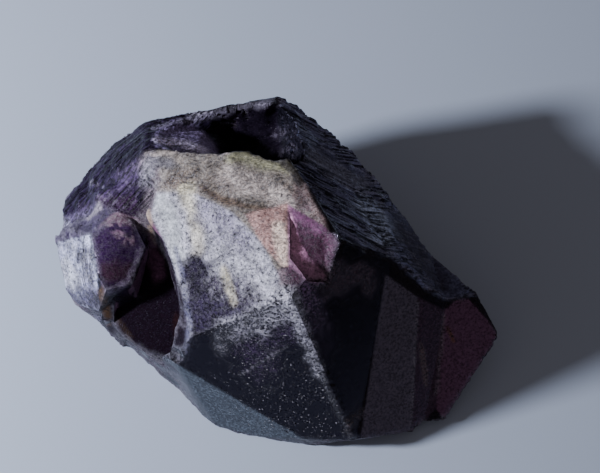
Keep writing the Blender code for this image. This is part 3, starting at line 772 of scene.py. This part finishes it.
# Darker at the crown's right end, by the hollow's corner.
lay(dab([(1.6, 14.0), (3.6, 12.0), (4.4, 10.0)], 0.8, 0.85), CROWN_DARK_END, 0.95, 0.5, 0.15)
lay(dab([(4.0, 6.8), (6.0, 4.6)], 1.2, 0.75), CROWN_WINE, 0.95, 0.6, 0.35)
lay(dab([(2.0, 9.5), (5.0, 5.5)], 0.8, 0.5), BROWN, 0.95, 0.9, 0.4)
lay(dab([(-13.6, 8.8), (-9.9, 6.2), (-6.0, 4.8), (-2.3, 4.2)], 0.8, 0.8), BROWN, 0.95, 0.9)
lay(dab([(-24.5, 13.5), (-23.5, 16.0), (-20.5, 14.5)], 1.6, 0.8), CROWN_GREY, 0.95, 0.6, 0.4)
lay(dab([(-23.5, 16.8), (-16.0, 17.4), (-9.0, 16.0)], 0.4, 0.7), CROWN_PALE, 0.97, 0.3, 0.3)
# Painted shade, in part: the slab's back inside the hollow is closed in near-black.
slab_back = column([(-22.0, 20.0), (-15.5, 13.0), (6.0, 10.0), (6.0, 20.0)], 1.0) * ramp(facing[:, 1], 0.55, 0.75)
lay(slab_back, DEEP_VIOLET_AND_SHADE, 0.94, 0.2)
print("crown done, mean threads:", mean(threads))

# %% [markdown]
# The face towards the light is the brightest part: white frost with a pale blue and a cream streak, which thins
# out to bare violet quartz in its lower half.

# %% Paint the white face
FROST = (0.40, 0.39, 0.49)
PALE_BLUE = (0.44, 0.46, 0.53)
CREAM = (0.60, 0.54, 0.40)
THIN_FROST = (0.22, 0.20, 0.30)
BARE_VIOLET = (0.036, 0.027, 0.048)
CLEAR_NIGHT = (0.007, 0.004, 0.015)
CLEAR_VIOLET = (0.014, 0.008, 0.030)
EDGE_BLUE = (0.10, 0.10, 0.19)
CORNER_TAN = (0.30, 0.22, 0.17)
BARE = [(-17.0, -4.0), (-13.5, -4.2), (-8.5, -6.5), (-3.0, -10.5), (-2.0, -14.5), (-15.0, -17.5), (-16.5, -10.5)]
BARE_FOOT = [(-15.5, -5.5), (-14.4, -9.0), (-13.5, -14.5), (-7.0, -15.0)]
LOWER_LEFT_EDGE = [(-18.8, -1.0), (-17.2, -8.6), (-16.2, -14.7), (-17.0, -18.3)]

lay(lit_face, FROST, 0.85, 1.0, 0.7)
lay(dab([(-21.5, 7.5), (-19.8, 3.0), (-18.6, -2.0)], 1.8, 0.9) * lit_face, PALE_BLUE, 0.97, 0.4, 0.4)
lay(dab([(-17.0, 9.0), (-16.1, 6.0), (-14.9, 2.9), (-14.5, -1.7)], 1.5, 0.85, 0.5), CREAM, 0.97, 0.8, 0.4)
lay(dab([(-13.0, 4.5), (-9.5, 1.5), (-6.0, -2.0)], 2.6, 0.85) * lit_face, THIN_FROST, 0.9, 1.0, 0.7)
streaky = ramp(fine + 0.6 * medium, -0.45, 0.2)
lay(region(BARE, 3.2) * lit_face * (0.45 + 0.55 * streaky), BARE_VIOLET, 0.8, 1.0, 0.5)
lay(dab(BARE_FOOT, 2.8, 1.0) * lit_face, CLEAR_NIGHT, 0.66, 0.8, 0.15)
lay(dab([(-15.5, -12.0), (-11.0, -13.8), (-6.0, -15.0)], 2.6, 1.0) * lit_face, CLEAR_VIOLET, 0.66, 0.8, 0.15)
lay(dab(LOWER_LEFT_EDGE, 0.5, 0.7, 0.6), EDGE_BLUE, 0.8, 0.9, 0.45)
lay(dab([(-9.6, -6.0), (-8.4, -9.9), (-7.8, -12.0)], 0.8, 0.7, 0.4), CREAM, 0.9, 1.0, 0.8)
lay(dab([(-24.4, 5.8), (-23.8, 3.9)], 0.5, 0.8), CORNER_TAN, 0.95, 0.3, 0.2)
print("white face done, mean grit:", mean(grit))

# %% [markdown]
# On the right the slab ends in a pink wedge with a cream streak, and in a violet facet. The pink is partly painted
# shade and the cream partly painted light. The wedge shades the facet's left part, so that part is painted lighter,
# a painted glow that stands in for a veil lit from inside.

# %% Paint the wedge and the violet facet
ROSE_AND_SHADE = (0.46, 0.27, 0.26)
WARM_CREAM_AND_LIGHT = (0.92, 0.71, 0.63)
FACET_PLUM = (0.085, 0.033, 0.068)
FACET_MAGENTA = (0.25, 0.10, 0.225)
FACET_SHADOW_LIFT = (0.42, 0.20, 0.35)
FACET_PAINTED_GLOW = (0.72, 0.35, 0.60)
FACET_FOOT = (0.06, 0.03, 0.05)
WEDGE_FOOT = (0.30, 0.22, 0.27)
FACET_EDGE = (0.11, 0.055, 0.10)
SHADED = [(2.7, 5.0), (3.3, 3.0), (4.6, -1.6), (6.4, -4.9), (9.8, -7.6), (9.5, -9.0), (6.5, -9.7), (2.7, -6.8)]

# The wedge's pink is partly painted shade and its cream streak partly painted light, over their own pink and cream.
lay(wedge, ROSE_AND_SHADE, 0.96, 0.4, 0.3)
lay(dab([(0.6, 0.5), (1.4, -3.9), (1.6, -6.3)], 1.2, 0.95) * wedge, WARM_CREAM_AND_LIGHT, 0.97, 0.6, 0.5)
lay(violet_facet, FACET_PLUM, 0.9, 0.5, 0.2)
lay(dab([(4.0, 3.5), (8.5, 1.0)], 1.7, 0.85) * violet_facet, FACET_MAGENTA, 0.92, 0.3, 0.2)
# Painted light: the part of the facet in the wedge's cast shadow is painted lighter rose, with a painted glow near the
# wedge.
shaded = region(SHADED, 0.4)
lay(shaded * violet_facet, FACET_SHADOW_LIFT, 0.92, 0.5, 0.2)
lay(shaded * stroke([(3.0, 3.5), (4.2, -2.5)], 3.0) * violet_facet, FACET_PAINTED_GLOW, 0.95, 0.3, 0.15)
lay(dab([(2.2, -8.5), (3.2, -11.0)], 1.4, 0.9) * violet_facet, FACET_FOOT, 0.9, 0.8, 0.4)
lay(dab([(1.4, -8.0), (1.5, -9.6)], 0.8, 0.85), WEDGE_FOOT, 0.92, 0.8, 0.4)
lay(dab([(8.5, 0.5), (11.6, -2.5), (9.7, -7.1)], 0.4, 0.7) * violet_facet, FACET_EDGE, 0.92, 0.4, 0.25)
print("slab done, mean cover:", mean(cover))

# %% [markdown]
# The tip faces stay clear and glossy. A painted violet glow lies beside the ridge between the two front ones, on
# a face that the lamp doesn't reach. The clear end on the right is veiled in grey, partly dust and partly painted
# reflection, and in plum, with pale scratched edges between its faces.

# %% Paint the tip faces
VIOLET_PAINTED_GLOW = (0.30, 0.16, 0.36)
TIP_NIGHT = (0.022, 0.006, 0.042)
TIP_ROSE = (0.10, 0.06, 0.085)
TIP_BROWN = (0.09, 0.05, 0.03)
GREY_DUST_AND_REFLECTION = (0.17, 0.145, 0.20)
DARK_PLUM = (0.10, 0.06, 0.10)
PLUM = (0.19, 0.09, 0.165)
EDGE_GREY = (0.30, 0.27, 0.33)
EDGE_ROSE = (0.30, 0.25, 0.30)
SCRATCH = (0.30, 0.28, 0.35)
END_BROWN = (0.13, 0.07, 0.07)
END_AMBER = (0.16, 0.07, 0.03)

tip = faces_up * ramp(-facing[:, 1], 0.35, 0.55) * (1.0 - lit_face) * (1.0 - recess) * (1.0 - side_left)
# Painted glow: this face gets no light from the lamp, so its violet glow is painted.
lay(dab([(5.0, -10.5), (7.0, -13.0), (9.5, -18.0)], 2.6, 0.9, 0.2) * tip, VIOLET_PAINTED_GLOW, 0.6, 0.9, 0.5)
lay(dab([(2.0, -16.0), (-1.0, -17.5), (-6.0, -18.5), (-2.0, -20.5)], 3.0, 0.8) * tip, TIP_NIGHT, 0.52, 0.95, 0.25)
lay(dab([(9.5, -9.0), (13.0, -7.0), (17.0, -6.5)], 2.6, 0.8) * tip, TIP_ROSE, 0.6, 0.4, 0.2)
lay(dab([(14.5, -30.0), (17.0, -27.0)], 1.2, 0.6) * tip, TIP_BROWN, 0.5, 0.8, 0.2)
# The grey veil is partly dust and partly a painted reflection.
lay(region(GREY_FACE, 0.4) * tip, GREY_DUST_AND_REFLECTION, 0.55, 0.1)
lay(region(PLUM_BAND, 0.4) * tip, DARK_PLUM, 0.5, 0.1)
lay(region(PLUM_END, 0.4) * tip, PLUM, 0.6, 0.1)
lay(dab([(27.7, -8.5), (27.0, -28.0)], 0.3, 0.5) * tip, EDGE_GREY, 0.5, 0.6)
lay(dab([(33.1, -9.3), (32.0, -22.5)], 0.3, 0.5) * tip, EDGE_ROSE, 0.5, 0.6)
lay(dab([(-6.8, -22.1), (2.5, -18.7)], 0.25, 0.4) * tip, SCRATCH, 0.4, 1.0, 1.0)
lay(dab([(28.6, -15.0), (29.2, -18.0), (29.8, -21.0)], 0.6, 0.8), END_BROWN, 0.6, 0.6, 0.5)
lay(dab([(34.0, -11.5), (35.2, -13.5)], 0.35, 0.8), END_AMBER, 0.7, 0.6)
print("tip faces done, share:", mean(tip))

# %% [markdown]
# Frost spills over the ridge between the tip faces in an arc and thins out down to the foot. All worn ridges turn
# whitish, and dust is marked where it lies thickest, for the material to scatter.

# %% Paint the frost, the wear and the dust
RIDGE_FROST = (0.50, 0.49, 0.62)
FOOT_FROST = (0.25, 0.25, 0.30)
LOW_WALL_FLOOR_LIGHT = (0.12, 0.15, 0.20)
WORN_WHITE = (0.24, 0.23, 0.30)

lay(dab([(3.3, -12.9), (-1.0, -15.0), (-6.9, -15.5), (-10.0, -17.0)], 2.0, 0.9, 0.5), FROST, 0.48, 1.0, 1.0)
patchy = 0.7 + 0.3 * ramp(fine, -0.3, 0.3)
lay(dab([(3.3, -12.9), (5.4, -16.8), (8.3, -22.1)], 1.3, 0.95, 0.7) * patchy, RIDGE_FROST, 0.72, 1.0, 1.0)
lay(dab([(8.3, -22.1), (11.6, -27.0), (14.7, -31.4)], 0.5, 0.8, 0.4) * patchy, FOOT_FROST, 0.4, 1.0, 0.8)
# Painted light: a thin pale grey on the low front wall stands in for the lit floor that shows in it.
low_wall = stroke([(-19.0, -22.5), (-8.0, -27.0), (2.0, -30.5)], 4.0) * (1.0 - ramp(facing[:, 2], 0.33, 0.42))
lay(low_wall, LOW_WALL_FLOOR_LIGHT, 0.35, 0.2)
worn = np.clip(neighbour_mean(ridge, edges) * 1.2, 0.0, 1.0) * faces_up
lay(worn * 0.35 * (1.0 - hollow) * (1.0 - rim_wall), WORN_WHITE, 0.6, 1.0)
dust = dab([(3.0, -13.0), (-8.0, -16.5), (-2.0, -24.0), (12.0, -29.0)], 6.0, 1.0) * ramp(-facing[:, 1], 0.7, 0.8)
dust = np.clip(dust + 0.3 * tip + 0.15 * recess, 0.0, 1.0)
print("cover, mean:", mean(cover), "dust, mean:", mean(dust))

# %% [markdown]
# The paint is kept in the mesh as point attributes, which the material reads by name. A colour is stored as a
# vector of red, green and blue.

# %% Store the paint
def store_number(piece, name, values):
    attribute = piece.data.attributes.new(name, "FLOAT", "POINT")
    attribute.data.foreach_set("value", np.clip(values, 0.0, 1.0).astype(np.float32))


def store_colour(piece, name, values):
    attribute = piece.data.attributes.new(name, "FLOAT_VECTOR", "POINT")
    attribute.data.foreach_set("vector", values.astype(np.float32).ravel())


store_colour(crystal, "crust", crust)
masks = {"cover": cover, "grit": grit, "threads": threads, "dust": dust, "fibrous": crown}
masks["layered"] = upper_left * (1.0 - 0.5 * lit_slope * into_hollow)
masks["main_steps"] = striated * (1.0 - second_patch) * (1.0 - 0.75 * smooth_patch)
masks["second_steps"] = striated * second_patch * (1.0 - 0.75 * smooth_patch)
masks["side_bands"] = side_left * ramp(spots[:, 0], -39.5, -37.5)
for name, values in masks.items():
    store_number(crystal, name, values)
print("masks:", ", ".join(masks))

# %% [markdown]
# Small functions keep the node tree readable: one adds a node with its inlets, one does sums, one maps a span,
# one mixes colours and one reads a painted mask.

# %% Node helpers
def join(tree, socket, term):
    """Sets a socket to a value, or links it if the term is another node's outlet."""
    if isinstance(term, bpy.types.NodeSocket):
        tree.links.new(term, socket)
    else:
        socket.default_value = term


def add_node(tree, kind, outlet=0, **inlets):
    node = tree.nodes.new(kind)
    for name, term in inlets.items():
        join(tree, node.inputs[name.replace("_", " ")], term)
    return node.outputs[outlet]


def sums(tree, operation, *terms, clamp=False):
    node = tree.nodes.new("ShaderNodeMath")
    node.operation = operation
    node.use_clamp = clamp
    for socket, term in zip(node.inputs, terms):
        join(tree, socket, term)
    return node.outputs[0]


def times(tree, *terms):
    result = terms[0]
    for term in terms[1:]:
        result = sums(tree, "MULTIPLY", result, term)
    return result


def vectors(tree, operation, *terms, outlet="Vector"):
    node = tree.nodes.new("ShaderNodeVectorMath")
    node.operation = operation
    sockets = (node.inputs[0], node.inputs["Scale"]) if operation == "SCALE" else node.inputs
    for socket, term in zip(sockets, terms):
        join(tree, socket, term)
    return node.outputs[outlet]


def span(tree, value, low, high, to_low=0.0, to_high=1.0):
    return add_node(
        tree, "ShaderNodeMapRange", Value=value, From_Min=low, From_Max=high, To_Min=to_low, To_Max=to_high
    )


def mix_colour(tree, share, first, second):
    """The node keeps its two colours in sockets 6 and 7, and their mix in outlet 2."""
    node = tree.nodes.new("ShaderNodeMix")
    node.data_type = "RGBA"
    for socket, term in zip((node.inputs[0], node.inputs[6], node.inputs[7]), (share, first, second)):
        join(tree, socket, term)
    return node.outputs[2]


def painted(tree, name, outlet="Fac"):
    node = tree.nodes.new("ShaderNodeAttribute")
    node.attribute_name = name
    return node.outputs[outlet]


def fade(tree, mask, value):
    """1 where the mask is 0, and the value where it is 1, to be multiplied in."""
    return sums(tree, "ADD", 1.0, times(tree, mask, sums(tree, "SUBTRACT", value, 1.0)))


# %% [markdown]
# Growth lines and fibres are noise that is stretched along one direction: the part of the place that runs along
# it is scaled down before the noise reads it. Threads are the thin curve where a noise passes its middle value.

# %% Streaks and threads
def streaks(tree, place, along, fineness, length):
    """Noise drawn out along a direction; fineness is in lines for each millimetre."""
    run = vectors(tree, "DOT_PRODUCT", place, tuple(along), outlet="Value")
    lengthwise = vectors(tree, "SCALE", tuple(along), run)
    rest = vectors(tree, "SUBTRACT", place, lengthwise)
    drawn = vectors(
        tree, "ADD", vectors(tree, "SCALE", rest, fineness), vectors(tree, "SCALE", lengthwise, 1.0 / length)
    )
    return add_node(tree, "ShaderNodeTexNoise", Vector=drawn, Scale=1.0, Detail=2.5, Roughness=0.65)


def curled(tree, place):
    """The place, pushed about by a slow noise, so that straight streaks come out curled."""
    push = add_node(tree, "ShaderNodeTexNoise", outlet=1, Vector=place, Scale=0.22, Detail=1.0)
    return vectors(tree, "ADD", place, vectors(tree, "SCALE", vectors(tree, "SUBTRACT", push, (0.5, 0.5, 0.5)), 7.0))


def thread_lines(tree, place, size, thickness):
    """Thin curling lines, about as far apart as the size in millimetres."""
    field = add_node(
        tree, "ShaderNodeTexNoise", Vector=place, Scale=1.0 / size, Detail=3.0, Roughness=0.65, Distortion=0.8
    )
    away = sums(tree, "ABSOLUTE", sums(tree, "SUBTRACT", field, 0.5))
    return span(tree, away, 0.0, thickness, 1.0, 0.0)


# %% [markdown]
# The crust isn't one flat colour: curled fibres run over the crown, growth lines over the striated side, layers
# over the shoulder and bands over the side crystal. Each pattern is multiplied in where its mask says so, so that
# one material does for the whole crystal and no seam shows between places.

# %% Shade of the crust
FIBRE_WAY = unit((1.0, 0.15, -0.05))
BAND_WAY = unit((0.18, -0.9, -0.4))


def crust_shade(tree, place, flakes):
    """How the crust's colour is lightened and darkened along its fibres and growth lines."""
    blotches = add_node(tree, "ShaderNodeTexNoise", Vector=place, Scale=0.5, Detail=6.0, Roughness=0.7)
    patterns = {
        "fibrous": span(tree, streaks(tree, curled(tree, place), FIBRE_WAY, 2.4, 2.0), 0.36, 0.62, 0.45, 1.5),
        "grit": span(tree, blotches, 0.42, 0.58, 0.5, 1.35),
        "main_steps": span(tree, streaks(tree, place, MAIN_GROWTH, 1.5, 9.0), 0.42, 0.60, 0.15, 2.3),
        "second_steps": span(tree, streaks(tree, place, SECOND_GROWTH, 1.7, 9.0), 0.42, 0.60, 0.15, 2.3),
        "layered": span(tree, streaks(tree, place, LAYER_GROWTH, 2.0, 12.0), 0.42, 0.60, 0.2, 2.4),
        "side_bands": span(tree, streaks(tree, place, BAND_WAY, 1.2, 8.0), 0.42, 0.58, 0.3, 1.6),
    }
    shade = span(tree, flakes, 0.36, 0.64, 0.5, 1.45)
    for name, pattern in patterns.items():
        shade = times(tree, shade, fade(tree, painted(tree, name), pattern))
    return shade


# %% [markdown]
# The material is clear violet quartz wherever nothing covers it: plain transmission at quartz's refractive
# index of 1.544, and a volume that absorbs green most, so that thin parts glow violet and thick parts go
# nearly black. Cover closes the surface, and noise breaks the crust into flakes, threads and specks. Reflections
# are weak and violet, because the etched faces mirror little of the pale surroundings.

# %% Amethyst
QUARTZ_IOR = 1.544
CLEAR = (0.9, 0.86, 1.0, 1.0)
WHITE_THREAD = (0.64, 0.64, 0.70, 1.0)
DARK_SPECK = (0.05, 0.04, 0.08, 1.0)
DUST = (0.5, 0.48, 0.55, 1.0)
VIOLET_ABSORPTION = (0.515, 0.1, 0.636, 1.0)
ABSORPTION_DENSITY = 370.0
REFLECTION_LEVEL = 0.1
REFLECTION_TINT = (0.36, 0.30, 0.48, 1.0)
GLASSY, FROSTED = 0.12, 0.6
BUMP_STRENGTH = 0.7
BUMP_DISTANCE = 0.15 * MM


def fill_with_violet(tree):
    absorption = tree.nodes.new("ShaderNodeVolumeAbsorption")
    absorption.inputs["Color"].default_value = VIOLET_ABSORPTION
    absorption.inputs["Density"].default_value = ABSORPTION_DENSITY
    tree.links.new(absorption.outputs[0], tree.nodes["Material Output"].inputs["Volume"])


def roughen(tree, shader, height):
    """Lets flakes and threads stand a little proud of the surface."""
    bump = tree.nodes.new("ShaderNodeBump")
    bump.inputs["Strength"].default_value = BUMP_STRENGTH
    bump.inputs["Distance"].default_value = BUMP_DISTANCE
    tree.links.new(height, bump.inputs["Height"])
    tree.links.new(bump.outputs["Normal"], shader.inputs["Normal"])


def amethyst():
    material = bpy.data.materials.new("amethyst")
    material.use_nodes = True
    tree = material.node_tree
    shader = tree.nodes["Principled BSDF"]
    mapping = tree.nodes.new("ShaderNodeMapping")
    mapping.inputs["Scale"].default_value = (1.0 / MM,) * 3
    tree.links.new(tree.nodes.new("ShaderNodeTexCoord").outputs["Object"], mapping.inputs["Vector"])
    place = mapping.outputs[0]
    flakes = add_node(tree, "ShaderNodeTexNoise", Vector=place, Scale=1.9, Detail=5.0, Roughness=0.75)
    grains = add_node(tree, "ShaderNodeTexNoise", Vector=place, Scale=4.5, Detail=2.0, Roughness=0.6)
    powder = add_node(tree, "ShaderNodeTexNoise", Vector=place, Scale=2.8, Detail=3.0, Roughness=0.6)
    lines = sums(tree, "MAXIMUM", thread_lines(tree, place, 1.3, 0.022), thread_lines(tree, place, 0.7, 0.028))
    white = times(tree, lines, painted(tree, "threads"))
    dusty = painted(tree, "dust")
    dusty = times(tree, span(tree, sums(tree, "ADD", powder, times(tree, dusty, 0.08)), 0.72, 0.76), dusty)

    # A smooth crust closes by its cover alone, and a gritty one in flakes.
    gritty, covered = painted(tree, "grit"), painted(tree, "cover")
    lifted = sums(tree, "ADD", covered, sums(tree, "MULTIPLY", sums(tree, "SUBTRACT", flakes, 0.5), 4.0))
    flaked = times(tree, span(tree, lifted, 0.30, 0.60), gritty)
    smooth = times(tree, covered, sums(tree, "SUBTRACT", 1.0, gritty))
    closed = sums(tree, "MAXIMUM", sums(tree, "ADD", flaked, smooth), times(tree, white, 0.85))

    shade = vectors(tree, "SCALE", painted(tree, "crust", "Vector"), crust_shade(tree, place, flakes))
    shade = mix_colour(tree, times(tree, span(tree, grains, 0.52, 0.64), gritty, 0.7), shade, DARK_SPECK)
    shade = mix_colour(tree, times(tree, white, 0.8), shade, WHITE_THREAD)
    shade = mix_colour(tree, span(tree, closed, 0.0, 0.04), CLEAR, shade)
    shade = mix_colour(tree, dusty, shade, DUST)
    closed = sums(tree, "MAXIMUM", closed, times(tree, dusty, 0.8))
    rough = times(tree, closed, sums(tree, "ADD", 0.15, gritty, clamp=True))
    tree.links.new(shade, shader.inputs["Base Color"])
    tree.links.new(sums(tree, "SUBTRACT", 1.0, closed, clamp=True), shader.inputs["Transmission Weight"])
    tree.links.new(span(tree, rough, 0.0, 1.0, GLASSY, FROSTED), shader.inputs["Roughness"])
    shader.inputs["IOR"].default_value = QUARTZ_IOR
    shader.inputs["Specular IOR Level"].default_value = REFLECTION_LEVEL
    shader.inputs["Specular Tint"].default_value = REFLECTION_TINT
    roughen(tree, shader, sums(tree, "ADD", times(tree, flakes, rough, 1.5), times(tree, white, 0.4)))
    fill_with_violet(tree)
    return material


SMOOTH_ANGLE = math.radians(30.0)
crystal.data.materials.clear()
crystal.data.materials.append(amethyst())
only(crystal)
bpy.ops.object.shade_smooth_by_angle(angle=SMOOTH_ANGLE)
crystal.data.calc_loop_triangles()
print("triangles:", len(crystal.data.loop_triangles))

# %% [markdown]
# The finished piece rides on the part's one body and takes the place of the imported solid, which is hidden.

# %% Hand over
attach(crystal, "root")
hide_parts("amethyst_point")
